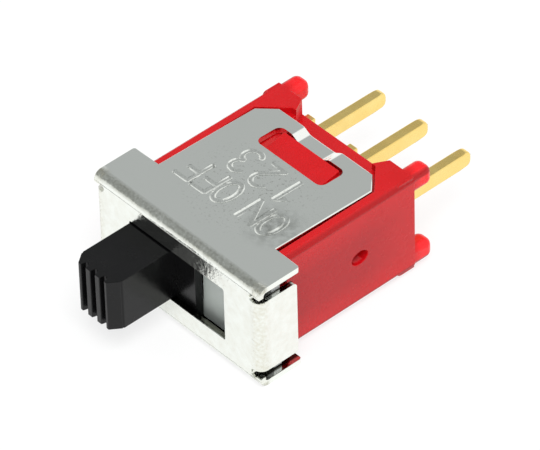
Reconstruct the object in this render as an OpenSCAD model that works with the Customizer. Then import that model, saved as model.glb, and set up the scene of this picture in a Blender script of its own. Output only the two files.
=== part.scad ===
// Subminiature slide switch for a printed board. A formed metal bracket clips
// a light guide frame and a moulded housing together. The slider pushes a
// sprung plunger across a bowed rocker contact, which joins the middle
// terminal to the outer terminal on the slider's side.
//
// The bracket's front face is the plane y = 0, with the origin at the middle
// of its window. The slider moves along X, the terminals point along +Y, and
// the part lies on its lower wing. The slider is drawn at its left stop.

/* [Slider] */
// How far the slider moves from one stop to the other
travel = 3.2; // [2:0.1:4]
// Width of the slider's stem
stem_w = 2.42; // [1.8:0.02:3]
// Height of the slider's stem
stem_h = 2.56; // [1.8:0.02:3]
// How far the stem stands out of the bracket
stem_out = 3.05; // [1.5:0.05:5]
// Width that each front corner of the stem is cut back
stem_cut_w = 0.36; // [0.1:0.02:0.5]
// Depth that each front corner of the stem is cut back
stem_cut_d = 0.5; // [0.1:0.02:0.8]
// Number of finger grooves in the stem's end
groove_count = 3; // [1:1:5]
// Distance between finger grooves
groove_pitch = 0.56; // [0.35:0.01:0.7]
// Width of a finger groove
groove_w = 0.2; // [0.1:0.01:0.3]
// Depth of a finger groove
groove_d = 0.26; // [0.1:0.02:0.5]
// Width of the parting notch at each front corner
part_notch = 0.05; // [0.02:0.01:0.1]
// Width of the flange that runs behind the bracket
flange_w = 4.7; // [4.4:0.02:6.4]
// Height of the flange
flange_h = 3.9; // [3:0.05:4]
// Thickness of the flange
flange_t = 0.4; // [0.25:0.05:0.6]
// Width of the tail that carries the plunger
tail_w = 1.4; // [1.3:0.02:1.6]
// Height of the tail
tail_h = 2; // [1.5:0.05:2.3]
// Depth of the plunger's bore in front of the bracket's face
bore_deep = 1.2; // [0.6:0.1:2]

/* [Bracket] */
// Thickness of the sheet metal
sheet_t = 0.28; // [0.2:0.02:0.36]
// Outer radius of the bends
bend_r = 0.42; // [0.38:0.01:0.6]
// Depth of the full-width ears, from the front face
ear_depth = 2.22; // [1.8:0.02:2.8]
// Radius of the ears' free corners
ear_r = 0.14; // [0.05:0.01:0.3]
// Height that the wings stand above the housing's rails at the front
wing_rise = 0.16; // [0.05:0.01:0.3]
// Angle that each wing leans in towards the housing, in degrees
wing_toe = 1.6; // [0:0.1:2.5]
// Size of the cut at each rear corner of a wing
wing_cut = 0.72; // [0.3:0.02:1]
// Width of the snap slot in each wing
slot_w = 3.94; // [3:0.02:4.6]
// Depth of the snap slot
slot_d = 1.38; // [1:0.02:1.8]
// Radius of the snap slot's corners
slot_r = 0.32; // [0.1:0.02:0.5]
// Width of the strip behind the snap slot
strip_w = 0.7; // [0.5:0.02:1]
// How far the middle of the strip is pressed down
dip_h = 0.22; // [0.1:0.02:0.3]
// Width of the pressed part's flat bottom
dip_w = 1.3; // [0.6:0.05:1.6]
// Width of each slope beside the pressed part
dip_run = 0.55; // [0.4:0.05:0.9]
// Side offset of the pressed part
dip_x = -0.15; // [-0.4:0.05:0.4]
// Height of the folded side flaps
flap_h = 3.7; // [2.6:0.05:3.9]
// Depth of the folded side flaps, from the front face
flap_depth = 2.06; // [1.2:0.02:2.6]
// Radius of the flaps' free corners
flap_r = 0.16; // [0.05:0.01:0.4]
// Radius of the window's corners
window_r = 0.1; // [0.05:0.01:0.3]

/* [Guide frame and shield] */
// How far the guide frame reaches past the flange at its stop
guide_wall = 0.65; // [0.2:0.01:0.8]
// Thickness of the plate behind the shield
shelf_t = 0.44; // [0.26:0.02:0.6]
// Width of each of the four corner posts
post_w = 0.9; // [0.5:0.05:1.2]
// Distance from each side of the guide frame to its posts
post_inset = 0.75; // [0.3:0.05:1]
// Thickness of the dust shield
shield_t = 0.18; // [0.1:0.02:0.3]
// Share of the slider's travel that the shield makes
shield_share = 0.5; // [0.4:0.05:0.6]
// Height of the dust shield
shield_h = 3.9; // [2.9:0.05:3.9]

/* [Housing] */
// Width of the housing
body_w = 8.18; // [6.8:0.02:10]
// Height of the housing over its rails
body_h = 4.94; // [4.1:0.02:6]
// Distance from the bracket's front face to the housing's rear face
body_end = 9.28; // [7.7:0.02:12]
// Width of the housing's nose inside the bracket
nose_w = 7; // [6.6:0.05:8]
// Width of each rail beside a wing
rail_w = 0.52; // [0.35:0.01:0.8]
// Size of the slope along the housing's long edges
edge_cut = 0.2; // [0.05:0.01:0.35]
// Depth of the ledge behind each wing
ledge_d = 1.11; // [0.8:0.01:1.6]
// Drop of the ledge below the rails
ledge_drop = 0.85; // [0.6:0.01:1]
// Width of each rear corner block at the housing's rear face
block_w = 1.47; // [1.2:0.01:1.8]
// How much further each block reaches in at its tip
block_tip = 0.37; // [0.1:0.01:0.6]
// Distance from the housing's rear face to the blocks' tips
block_tip_d = 0.68; // [0.3:0.02:0.9]
// Width of each standoff nub
nub_w = 0.78; // [0.6:0.01:1.1]
// Distance of each nub from the housing's side
nub_inset = 0.05; // [0.05:0.01:0.3]
// Height of each standoff nub
nub_h = 0.86; // [0.7:0.01:1]
// Length of each standoff nub
nub_len = 1.04; // [0.5:0.01:1.4]
// Radius of the nubs' free edges seen from the side
nub_r = 0.32; // [0.1:0.01:0.36]
// Radius of the nubs' free edges seen from above
nub_plan_r = 0.22; // [0.05:0.01:0.3]
// Height of the snap ramp at its rear edge
ramp_h = 0.24; // [0.1:0.01:0.3]
// Distance from the front face to the small round recess in each side
dot_y = 6.23; // [5:0.05:7]
// Radius of the small round recess
dot_r = 0.38; // [0.2:0.01:0.6]
// Depth of the small round recess
dot_d = 0.22; // [0.1:0.01:0.35]
// Least width of the contact chamber
chamber_w = 5.9; // [5.7:0.02:6.2]
// Height of the contact chamber
chamber_h = 2.9; // [2.6:0.05:3]
// Thickness of the block that holds the terminals
rear_block = 3.08; // [2:0.02:4]

/* [Terminals and contact] */
// Distance between terminals
pitch = 2.54; // [2.5:0.01:2.6]
// Thickness of the terminals' sheet
pin_t = 0.46; // [0.35:0.01:0.6]
// Height of a terminal's pin
pin_h = 0.76; // [0.5:0.01:0.9]
// Length of the pins behind the housing
pin_len = 4.42; // [2.5:0.02:6]
// Radius of the pins' tips, seen from the side
pin_tip_r = 0.31; // [0.1:0.01:0.34]
// Radius of the pins' tips, seen from above
pin_plan_r = 0.12; // [0.05:0.01:0.2]
// Length of a terminal's shoulder behind the housing
shoulder_out = 0.44; // [0.2:0.01:0.8]
// Thickness of housing over a terminal's shoulder
shoulder_cover = 0.32; // [0.2:0.01:0.5]
// Distance from the chamber's rear wall to the rocker's axis
pivot_gap = 1; // [0.8:0.05:1.4]
// Width of the rocker
rocker_w = 2.2; // [1.9:0.05:2.4]
// Thickness of the rocker's strip
rocker_t = 0.2; // [0.12:0.01:0.25]
// How far the rocker's bow runs past the plunger's stops
bow_spare = 0.352; // [0.3:0.002:0.5]
// Tilt of the rocker to each side, in degrees
tilt = 8; // [5:0.5:10]
// Length of the flat contact wing at each end of the rocker
rocker_wing = 0.62; // [0.4:0.02:0.7]
// Depth of the contact pad on each outer terminal
pad_t = 0.3; // [0.2:0.02:0.4]
// Height of each pad
pad_h = 1.8; // [1:0.05:2.2]
// Height of each fork prong on the middle terminal
prong_h = 0.3; // [0.2:0.02:0.4]

/* [Plunger and spring] */
// Radius of the plunger and of its round tip
plunger_r = 0.5; // [0.35:0.01:0.55]
// Length of the plunger behind its tip's centre
plunger_len = 1.7; // [1.2:0.05:2.2]
// Length of the spring pilot on the plunger
pilot_len = 0.4; // [0.2:0.05:0.6]
// Radius of the spring's wire
wire_r = 0.06; // [0.04:0.005:0.08]
// Number of turns in the spring
turns = 7; // [4:1:9]

/* [Clearances] */
// Gap on each side of a sliding or turning fit
run_gap = 0.04; // [0.02:0.01:0.06]
// Gap between the stem and each end of the window
window_gap = 0.02; // [0.02:0.01:0.1]
// Gap above and below the stem in the window
window_rise = 0.085; // [0.03:0.005:0.15]
// Gap between a wing and the housing's rails
wing_gap = 0.06; // [0.03:0.01:0.12]
// Gap between parts that rest against each other
seat_gap = 0.02; // [0.01:0.005:0.03]
// Radial gap of the plunger in its bore
bore_gap = 0.03; // [0.02:0.01:0.06]

/* [Hidden] */
$fn = 48;

// Positions at rest, with the slider at its left stop
slider_x = -travel / 2;
shield_travel = travel * shield_share;
shield_x = -shield_travel / 2;

// Window, pocket and bracket, sized round the slider
window_w = stem_w + travel + 2 * window_gap;
window_h = stem_h + 2 * window_rise;
pocket_w = flange_w + travel + 2 * run_gap;
pocket_h = flange_h + 2 * run_gap;
shield_reach = window_w / 2 + shield_travel + 2 * run_gap;
guide_w = max(pocket_w + 2 * guide_wall, 2 * (shield_reach + run_gap));
bracket_w = guide_w + 2 * (run_gap + sheet_t);
bracket_h = body_h + 2 * wing_rise;
guide_h = bracket_h - 2 * (sheet_t + run_gap);
inner_r = bend_r - sheet_t;

// Layers behind the bracket's front plate
flange_y = sheet_t + run_gap;
shield_y = flange_y + flange_t + run_gap;
shelf_y = shield_y + shield_t + run_gap;
guide_end = shelf_y + shelf_t;

// Wings, and the pocket in the housing that takes them
wing_w = body_w - 2 * (rail_w + wing_gap);
wing_end = body_end - ledge_d;
wing_drop = (wing_end - ear_depth) * tan(wing_toe);
slot_end = wing_end - strip_w;
floor_z = bracket_h / 2 - sheet_t - wing_drop - seat_gap;
ramp_end = slot_end - wing_gap;
ramp_w = slot_w - 2 * slot_r;
ledge_z = body_h / 2 - ledge_drop;
relief_r = (bracket_h / 2 - bend_r - flap_h / 2) / 2;

// Shield hole: the tail reaches its end only at the slider's stops
shield_w = window_w + shield_travel + 4 * run_gap;
shield_hole_w = tail_w + travel - shield_travel + 2 * window_gap;
tail_slot_w = tail_w + travel + 4 * run_gap;
tail_slot_h = tail_h + 4 * run_gap;
post_x = guide_w / 2 - post_inset - post_w / 2;

// Rocker: its bow lets the plunger's tip run along it as it turns
chamber_end = body_end - rear_block;
pivot_y = chamber_end - pivot_gap;
saddle_r = pin_t / 2;
bow_gap = seat_gap * 1.5;
tip_offset = -(saddle_r + seat_gap + rocker_t + bow_gap + plunger_r);
turn_rate = tilt * PI / 180 / (travel / 2);
path_bend = turn_rate / pow(1 + tip_offset * turn_rate, 2);
bow_r = 1 / (2 * path_bend) + plunger_r + bow_gap;
bow_reach = travel / 2 + bow_spare;
bow_angle = asin(bow_reach / bow_r);
bow_centre = -(saddle_r + seat_gap + rocker_t) - bow_r;
wing_x = (bow_r + rocker_t / 2) * sin(bow_angle);
wing_y = bow_centre + (bow_r + rocker_t / 2) * cos(bow_angle);
pad_y = pivot_y + wing_x * sin(tilt) + wing_y * cos(tilt) + rocker_t / 2 + seat_gap;
pad_x = wing_x * cos(tilt) - wing_y * sin(tilt) + run_gap;
notch_w = pin_t + 5 * run_gap;
rocker_reach = (wing_x + rocker_wing) * cos(tilt) - wing_y * sin(tilt) + rocker_t / 2;
chamber_span = max(chamber_w, 2 * (rocker_reach + 2 * run_gap));

// Terminals
pin_end = body_end + pin_len;
shoulder_h = 2 * (ledge_z - shoulder_cover);
shoulder_end = body_end + shoulder_out;
saddle_h = rocker_w - 2 * (prong_h + run_gap) - 2 * run_gap;
prong_y = pivot_y - 0.4 * rocker_w;
fork_h = saddle_h + 2 * (prong_h + run_gap);

// Plunger, tail and spring
tip_y = pivot_y + tip_offset;
plunger_back = tip_y - plunger_len;
tail_end = tip_y - 2 * plunger_r;
spring_r = plunger_r - 2 * wire_r;
spring_start = -bore_deep + wire_r + seat_gap;
spring_len = plunger_back - wire_r - seat_gap - spring_start;
wire_sides = 6;
turn_steps = 14;
dip_steps = 8;

// A rectangle about its middle with true round corners
module round_rect(w, h, r) {
    square([w - 2 * r, h], center = true);
    square([w, h - 2 * r], center = true);
    for (sx = [-1, 1], sy = [-1, 1]) {
        translate([sx * (w / 2 - r), sy * (h / 2 - r)]) circle(r = r);
    }
}

// One quarter of a bent sheet, outer radius at the lower left of the corner
module bend_quarter() {
    intersection() {
        difference() {
            circle(r = bend_r);
            circle(r = bend_r - sheet_t);
        }
        translate([-2 * bend_r, 0]) square(2 * bend_r);
    }
}

// Draws a shape given in Y and Z, as thick as w along X
module along_x(w) {
    rotate([90, 0, 90]) linear_extrude(height = w, center = true) children();
}

// Draws a shape given in X and Z, from y0 to y1
module along_y(y0, y1) {
    translate([0, y1, 0]) rotate([90, 0, 0]) linear_extrude(height = y1 - y0) children();
}

// Draws its children above and below the middle plane
module both_faces() {
    children();
    mirror([0, 0, 1]) children();
}

// Draws its children on the right and on the left
module both_sides() {
    children();
    mirror([1, 0, 0]) children();
}

// Outline of a wing with its ears, seen from above
module wing_outline() {
    translate([0, ear_depth / 2]) round_rect(bracket_w, ear_depth, ear_r);
    translate([-bracket_w / 2, 0]) square([bracket_w, ear_depth / 2]);
    wing_plan(0, 0, 0);
}

// Outline of the part of a wing behind the ears, grown by a gap. The cut
// corners can run on behind the wing's rear edge by a further distance.
module wing_plan(gap, start, further) {
    half = wing_w / 2 + gap;
    cut_y = wing_end + gap - wing_cut;
    reach = wing_cut + further;
    polygon([
        [-half, start],
        [half, start],
        [half, cut_y],
        [half - reach, cut_y + reach],
        [-half + reach, cut_y + reach],
        [-half, cut_y]
    ]);
}

// Bend, ear and leaning wing in section
module wing_section() {
    top = bracket_h / 2;
    translate([bend_r, top - bend_r]) bend_quarter();
    translate([0, top - bend_r - sheet_t / 4]) square([sheet_t, sheet_t / 2]);
    translate([bend_r, top - sheet_t]) square([ear_depth - bend_r, sheet_t]);
    translate([ear_depth, top]) rotate([0, 0, -wing_toe]) {
        translate([0, -sheet_t]) square([wing_end, sheet_t]);
    }
}

// How far the strip is pressed down at a place along it, in a smooth swing
function dip_at(x) =
    let (t = (abs(x) - dip_w / 2) / dip_run)
    t <= 0 ? dip_h : t >= 1 ? 0 : dip_h * (1 + cos(180 * t)) / 2;

// The pressed-down middle of the strip behind the snap slot, in section
module dip_section() {
    foot = dip_w / 2 + dip_run;
    tab = foot + sheet_t / 2;
    right = [for (i = [0 : dip_steps]) foot - dip_run * i / dip_steps];
    left = [for (i = [dip_steps : -1 : 0]) -foot + dip_run * i / dip_steps];
    across = concat([tab], right, left, [-tab]);
    last = len(across) - 1;
    top = [for (x = across) [x, -dip_at(x)]];
    bottom = [for (i = [last : -1 : 0]) [across[i], -dip_at(across[i]) - sheet_t]];
    polygon(concat(top, bottom));
}

// Moves its children from the level of y = 0 onto the leaning wing
module on_wing(y) {
    drop = (y - ear_depth) * tan(wing_toe);
    translate([dip_x, y, bracket_h / 2 - drop]) rotate([-wing_toe, 0, 0]) children();
}

module bracket_wing() {
    dip_all = dip_w + 2 * dip_run;
    difference() {
        intersection() {
            along_x(bracket_w) wing_section();
            linear_extrude(height = bracket_h) wing_outline();
        }
        linear_extrude(height = bracket_h) {
            translate([0, slot_end - slot_d / 2]) round_rect(slot_w, slot_d, slot_r);
        }
        translate([dip_x, slot_end + strip_w, bracket_h / 2]) {
            cube([dip_all, 2 * strip_w, bracket_h], center = true);
        }
    }
    on_wing(slot_end) along_y(0, strip_w) dip_section();
}

// Side flap with its bend, folded back from the front plate
module bracket_flap() {
    half = bracket_w / 2;
    intersection() {
        linear_extrude(height = flap_h, center = true) {
            translate([half - bend_r, bend_r]) rotate([0, 0, 180]) bend_quarter();
            translate([half - bend_r - sheet_t / 2, 0]) square([sheet_t / 2, sheet_t]);
            translate([half - sheet_t, bend_r]) square([sheet_t, flap_depth - bend_r]);
        }
        along_x(2 * bracket_w) round_rect(2 * flap_depth, flap_h, flap_r);
    }
}

module bracket() {
    color("silver") difference() {
        union() {
            both_faces() bracket_wing();
            both_sides() bracket_flap();
            translate([0, sheet_t / 2, 0]) {
                cube([bracket_w - 2 * bend_r, sheet_t, bracket_h - 2 * bend_r], center = true);
            }
        }
        along_y(-sheet_t, 2 * sheet_t) round_rect(window_w, window_h, window_r);
        both_sides() both_faces() {
            along_y(-sheet_t, 2 * sheet_t) {
                translate([bracket_w / 2 - bend_r, flap_h / 2 + relief_r]) circle(r = relief_r);
            }
        }
    }
}

module guide_frame() {
    color("lightgray") difference() {
        union() {
            along_y(shelf_y, guide_end) square([guide_w, guide_h], center = true);
            both_sides() along_y(sheet_t, guide_end) {
                translate([post_x, 0]) square([post_w, guide_h - 2 * inner_r], center = true);
            }
        }
        along_y(0, shelf_y) square([guide_w, pocket_h], center = true);
        along_y(0, 2 * guide_end) square([tail_slot_w, tail_slot_h], center = true);
    }
}

module dust_shield() {
    color("gainsboro") translate([shield_x, 0, 0]) {
        along_y(shield_y, shield_y + shield_t) difference() {
            square([shield_w, shield_h], center = true);
            square([shield_hole_w, tail_slot_h], center = true);
        }
    }
}

// Section of the housing with its sloped long edges
module body_section() {
    intersection() {
        square([body_w, body_h], center = true);
        rotate([0, 0, 45]) {
            span = (body_w + body_h - 2 * edge_cut) / sqrt(2);
            reach = sqrt(2) * body_w;
            square([span, reach], center = true);
        }
        rotate([0, 0, -45]) {
            span = (body_w + body_h - 2 * edge_cut) / sqrt(2);
            reach = sqrt(2) * body_w;
            square([span, reach], center = true);
        }
    }
}

// Pocket for a wing, and the lower ledge between the rear blocks' walls
module wing_pocket() {
    rear_x = body_w / 2 - block_w;
    tip_x = rear_x - block_tip;
    tip_y = body_end - block_tip_d;
    bay = [
        [rear_x + block_tip, body_end + block_tip_d],
        [tip_x, tip_y],
        [tip_x, ramp_end],
        [-tip_x, ramp_end],
        [-tip_x, tip_y],
        [-rear_x - block_tip, body_end + block_tip_d]
    ];
    translate([0, 0, floor_z]) linear_extrude(height = body_h) {
        intersection() {
            wing_plan(wing_gap, ear_depth - wing_gap, 2 * block_tip_d);
            translate([-body_w / 2, 0]) square([body_w, tip_y]);
        }
    }
    translate([0, 0, ledge_z]) linear_extrude(height = body_h) polygon(bay);
}

// Ramp that the wing's slot snaps over
module snap_ramp() {
    start = slot_end - slot_d + wing_gap;
    along_x(ramp_w) polygon([
        [start, floor_z - ramp_h],
        [start, floor_z],
        [ramp_end, floor_z + ramp_h],
        [ramp_end, floor_z - ramp_h]
    ]);
}

// Standoff nub at the upper right rear corner
module nub() {
    x = body_w / 2 - nub_inset - nub_w / 2;
    z = body_h / 2 - nub_h / 2;
    intersection() {
        translate([x, body_end, z]) along_x(nub_w) round_rect(2 * nub_len, nub_h, nub_r);
        translate([x, body_end, z - nub_h]) linear_extrude(height = 2 * nub_h) {
            round_rect(nub_w, 2 * nub_len, nub_plan_r);
        }
    }
}

module housing() {
    ear_end = ear_depth + wing_gap;
    color("firebrick") difference() {
        union() {
            along_y(guide_end, ear_end) square([nose_w, guide_h], center = true);
            difference() {
                along_y(ear_end, body_end) body_section();
                both_faces() wing_pocket();
            }
            both_faces() snap_ramp();
            both_sides() both_faces() nub();
        }
        along_y(0, chamber_end) square([chamber_span, chamber_h], center = true);
        both_sides() translate([body_w / 2, dot_y, 0]) rotate([0, 90, 0]) {
            cylinder(r = dot_r, h = 2 * dot_d, center = true);
        }
        common_blade();
        both_sides() outer_blade();
    }
}

// Plan of the stem with its cut corners, parting notches and finger grooves
module stem_plan() {
    half = stem_w / 2;
    cut_y = -stem_out + stem_cut_d;
    difference() {
        polygon([
            [-half, flange_y],
            [-half, cut_y],
            [-half + stem_cut_w, -stem_out],
            [half - stem_cut_w, -stem_out],
            [half, cut_y],
            [half, flange_y]
        ]);
        both_sides() translate([half, cut_y]) rotate([0, 0, 45]) {
            square(part_notch * sqrt(2), center = true);
        }
        for (i = [0 : groove_count - 1]) {
            translate([(i - (groove_count - 1) / 2) * groove_pitch, -stem_out]) groove_plan();
        }
    }
}

module groove_plan() {
    polygon([
        [-groove_w / 2 - groove_w / 4, 0],
        [-groove_w / 2, groove_d - groove_w / 2],
        [groove_w / 2, groove_d - groove_w / 2],
        [groove_w / 2 + groove_w / 4, 0],
        [groove_w, -groove_d],
        [-groove_w, -groove_d]
    ]);
    translate([0, groove_d - groove_w / 2]) circle(r = groove_w / 2);
}

module slider() {
    color("dimgray") translate([slider_x, 0, 0]) difference() {
        union() {
            linear_extrude(height = stem_h, center = true) stem_plan();
            along_y(flange_y, flange_y + flange_t) square([flange_w, flange_h], center = true);
            along_y(flange_y, tail_end) square([tail_w, tail_h], center = true);
        }
        along_y(-bore_deep, 2 * tail_end) circle(r = plunger_r + bore_gap);
    }
}

module plunger() {
    color("ivory") translate([slider_x, tip_y, 0]) rotate([-90, 0, 0]) {
        sphere(r = plunger_r);
        translate([0, 0, -plunger_len]) cylinder(r = plunger_r, h = plunger_len);
        translate([0, 0, -plunger_len - pilot_len]) {
            cylinder(r = spring_r - wire_r - run_gap, h = 2 * pilot_len);
        }
    }
}

// Points round the wire at one step along the spring
function wire_ring(i) =
    let (a = 360 * i / turn_steps, y = spring_start + spring_len * i / (turns * turn_steps))
    [for (k = [0 : wire_sides - 1])
        let (b = 360 * k / wire_sides, r = spring_r + wire_r * cos(b))
        [r * cos(a), y + wire_r * sin(b), r * sin(a)]];

module plunger_spring() {
    rings = turns * turn_steps;
    points = [for (i = [0 : rings]) each wire_ring(i)];
    sides = [for (i = [0 : rings - 1], k = [0 : wire_sides - 1])
        let (n = (k + 1) % wire_sides, a = i * wire_sides, b = a + wire_sides)
        [a + k, b + k, b + n, a + n]];
    first = [for (k = [0 : wire_sides - 1]) k];
    last = [for (k = [wire_sides - 1 : -1 : 0]) rings * wire_sides + k];
    color("slategray") translate([slider_x, 0, 0]) polyhedron(points, concat([first, last], sides));
}

// Bowed strip with a flat contact wing at each end, about the rocker's axis
module rocker_section() {
    reach = 2 * bow_r;
    intersection() {
        translate([0, bow_centre]) difference() {
            circle(r = bow_r + rocker_t, $fn = 180);
            circle(r = bow_r, $fn = 180);
        }
        translate([0, bow_centre]) polygon([
            [0, 0],
            [reach * sin(bow_angle), reach * cos(bow_angle)],
            [-reach * sin(bow_angle), reach * cos(bow_angle)]
        ]);
    }
    both_sides() translate([wing_x, wing_y]) rotate([0, 0, -tilt]) {
        circle(r = rocker_t / 2);
        translate([0, -rocker_t / 2]) square([rocker_wing, rocker_t]);
    }
}

module rocker_contact() {
    color("goldenrod") translate([0, pivot_y, 0]) rotate([0, 0, -tilt]) difference() {
        linear_extrude(height = rocker_w, center = true) rocker_section();
        both_faces() translate([0, 0, saddle_h / 2 + rocker_w / 2]) {
            cube([notch_w, rocker_w, rocker_w], center = true);
        }
    }
}

// Outline of the part of a terminal that the housing holds, and of its pin
module terminal_outline(start, height) {
    translate([start, -height / 2]) square([body_end - start, height]);
    translate([chamber_end + pin_t, -shoulder_h / 2]) {
        square([shoulder_end - chamber_end - pin_t, shoulder_h]);
    }
    translate([pin_end - pin_len, 0]) round_rect(2 * pin_len, pin_h, pin_tip_r);
}

// Plan of a terminal's blade, with the pin's tip rounded
module blade_plan(start) {
    translate([-pin_t / 2, start]) square([pin_t, pin_end - start - pin_plan_r]);
    translate([0, pin_end - pin_len / 2]) round_rect(pin_t, pin_len, pin_plan_r);
}

module common_blade() {
    intersection() {
        along_x(pin_t) terminal_outline(pivot_y, fork_h);
        linear_extrude(height = bracket_h, center = true) blade_plan(pivot_y);
    }
    along_x(pin_t) both_prongs() square([chamber_end - prong_y, prong_h]);
    translate([0, pivot_y, 0]) cylinder(r = saddle_r, h = saddle_h, center = true);
}

// Draws its children, given from a prong's lower front corner, on each prong
module both_prongs() {
    translate([prong_y, saddle_h / 2 + run_gap]) children();
    mirror([0, 1]) translate([prong_y, saddle_h / 2 + run_gap]) children();
}

// Terminal on the right, with its end folded in as a contact pad
module outer_blade() {
    blade_x = max(pad_x, pitch - pin_t / 2);
    pad_end = pitch + pin_t / 2;
    intersection() {
        translate([pitch, 0, 0]) along_x(pin_t) terminal_outline(pad_y, pad_h);
        linear_extrude(height = bracket_h, center = true) {
            translate([blade_x, pad_y]) square([pad_end - blade_x, pad_t]);
            translate([pitch, 0]) blade_plan(pad_y + pad_t);
        }
    }
    translate([pad_x, pad_y, -pad_h / 2]) cube([pad_end - pad_x, pad_t, pad_h]);
}

module common_terminal() {
    color("gold") common_blade();
}

module left_terminal() {
    color("gold") mirror([1, 0, 0]) outer_blade();
}

module right_terminal() {
    color("gold") outer_blade();
}

bracket();
guide_frame();
dust_shield();
housing();
slider();
plunger();
plunger_spring();
rocker_contact();
common_terminal();
left_terminal();
right_terminal();
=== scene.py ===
# %% [markdown]
# # A subminiature slide switch
# The part is a slide switch about the size of a fingernail. The solids of the
# mechanism come in as a frame, and this script gives them their visible finish:
# softened edges, stamped marks, plated metal, moulded plastic, light and camera.
# All lengths are in metres, so a tenth of a millimetre is written 0.1 * MM.

# %% Load the frame
import bpy
import bmesh
import math
from mathutils import Matrix, Vector


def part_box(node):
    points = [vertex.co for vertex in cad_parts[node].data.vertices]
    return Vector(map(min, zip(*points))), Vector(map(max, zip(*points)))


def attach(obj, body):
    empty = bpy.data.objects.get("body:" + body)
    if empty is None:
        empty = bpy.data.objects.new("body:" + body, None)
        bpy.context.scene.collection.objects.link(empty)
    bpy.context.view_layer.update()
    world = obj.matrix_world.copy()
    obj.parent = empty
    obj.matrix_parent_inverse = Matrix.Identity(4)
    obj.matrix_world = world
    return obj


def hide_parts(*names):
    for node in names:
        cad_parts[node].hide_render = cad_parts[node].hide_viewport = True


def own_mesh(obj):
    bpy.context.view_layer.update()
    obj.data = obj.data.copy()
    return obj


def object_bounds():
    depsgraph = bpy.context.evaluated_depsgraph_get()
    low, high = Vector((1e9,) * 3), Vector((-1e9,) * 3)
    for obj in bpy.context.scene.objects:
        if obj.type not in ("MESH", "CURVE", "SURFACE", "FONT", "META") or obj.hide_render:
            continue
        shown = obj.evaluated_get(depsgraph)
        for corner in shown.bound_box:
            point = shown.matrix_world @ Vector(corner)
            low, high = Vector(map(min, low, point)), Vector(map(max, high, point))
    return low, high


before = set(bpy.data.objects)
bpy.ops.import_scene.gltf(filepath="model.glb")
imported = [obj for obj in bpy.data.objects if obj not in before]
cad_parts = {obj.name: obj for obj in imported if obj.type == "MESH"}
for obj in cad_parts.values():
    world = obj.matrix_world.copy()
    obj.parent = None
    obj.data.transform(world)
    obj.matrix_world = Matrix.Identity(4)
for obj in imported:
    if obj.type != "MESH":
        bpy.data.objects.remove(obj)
cad_low, cad_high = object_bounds()
MM = 0.001
print("solids:", sorted(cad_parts))
print("size in mm:", [round(v / MM, 2) for v in cad_high - cad_low])

# %% [markdown]
# ## Camera
# A long lens far away keeps parallel edges nearly parallel, as small parts are
# usually shown. The camera is turned with three plain angles: a swing round the
# upright axis, a tilt down, and a very small roll, which no real tripod is free of.

# %% Set up the camera
SWING = math.radians(48.8945)
TILT_DOWN = math.radians(47.8911)
ROLL = math.radians(-1.6755)
CAMERA_MM = (135.218, -112.938, 162.043)
lens_data = bpy.data.cameras.new("long_lens")
lens_data.lens = 397.63
lens_data.sensor_width = 36.0
lens_data.clip_start = 0.01
lens_data.clip_end = 10.0
camera = bpy.data.objects.new("camera", lens_data)
bpy.context.scene.collection.objects.link(camera)
camera.location = Vector(CAMERA_MM) * MM
turned = (
    Matrix.Rotation(SWING, 3, "Z")
    @ Matrix.Rotation(TILT_DOWN, 3, "X")
    @ Matrix.Rotation(ROLL, 3, "Z")
)
camera.rotation_euler = turned.to_euler()
bpy.context.scene.camera = camera
print("camera distance in mm:", round(camera.location.length / MM))

# %% [markdown]
# ## Floor
# The switch lies on white paper: a large plane that shows as white to the camera
# and in mirrored images, and still takes the part's soft shadow. More light could
# make it white too, but would also bleach the part. So part of the paper's light
# is a glow that only those rays see.

# %% Lay the paper
def deselect_all():
    bpy.ops.object.select_all(action="DESELECT")


FLOOR_Z = cad_low.z
PAPER_SIZE = 1.6
deselect_all()
bpy.ops.mesh.primitive_plane_add(size=PAPER_SIZE, location=(0, 0, FLOOR_Z))
paper = bpy.context.object
paper.name = "paper"
print("paper at", round(FLOOR_Z / MM, 2), "mm")

# %% Give the paper its finish
WHITE = (1, 1, 1, 1)
PAPER_COLOUR = (0.86, 0.86, 0.86, 1)
PAPER_GLOW = 1.08
GLOW_SHARE = 0.7
paper_finish = bpy.data.materials.new("white_paper")
paper_finish.use_nodes = True
nodes, links = paper_finish.node_tree.nodes, paper_finish.node_tree.links
nodes.clear()
sheet = nodes.new("ShaderNodeBsdfDiffuse")
sheet.inputs["Color"].default_value = PAPER_COLOUR
glow = nodes.new("ShaderNodeEmission")
glow.inputs["Color"].default_value = WHITE
glow.inputs["Strength"].default_value = PAPER_GLOW
seen_by = nodes.new("ShaderNodeLightPath")
seen = seen_by.outputs["Is Camera Ray"]
for other_ray in ("Is Glossy Ray", "Is Transmission Ray"):
    either = nodes.new("ShaderNodeMath")
    either.operation = "MAXIMUM"
    links.new(seen, either.inputs[0])
    links.new(seen_by.outputs[other_ray], either.inputs[1])
    seen = either.outputs[0]
share = nodes.new("ShaderNodeMath")
share.operation = "MULTIPLY"
share.inputs[1].default_value = GLOW_SHARE
both = nodes.new("ShaderNodeMixShader")
out = nodes.new("ShaderNodeOutputMaterial")
links.new(seen, share.inputs[0])
links.new(share.outputs[0], both.inputs[0])
links.new(sheet.outputs[0], both.inputs[1])
links.new(glow.outputs[0], both.inputs[2])
links.new(both.outputs[0], out.inputs["Surface"])
paper.data.materials.append(paper_finish)
print("made", paper_finish.name)

# %% [markdown]
# ## Sky
# The sky is white near the horizon, which is what the upright metal faces mirror,
# and grey overhead, which is what the flat top mirrors. Bright metal only looks
# like metal when each face has something different to show. High behind the
# switch the grey has a white opening, so that slopes which face right are bright.

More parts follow.
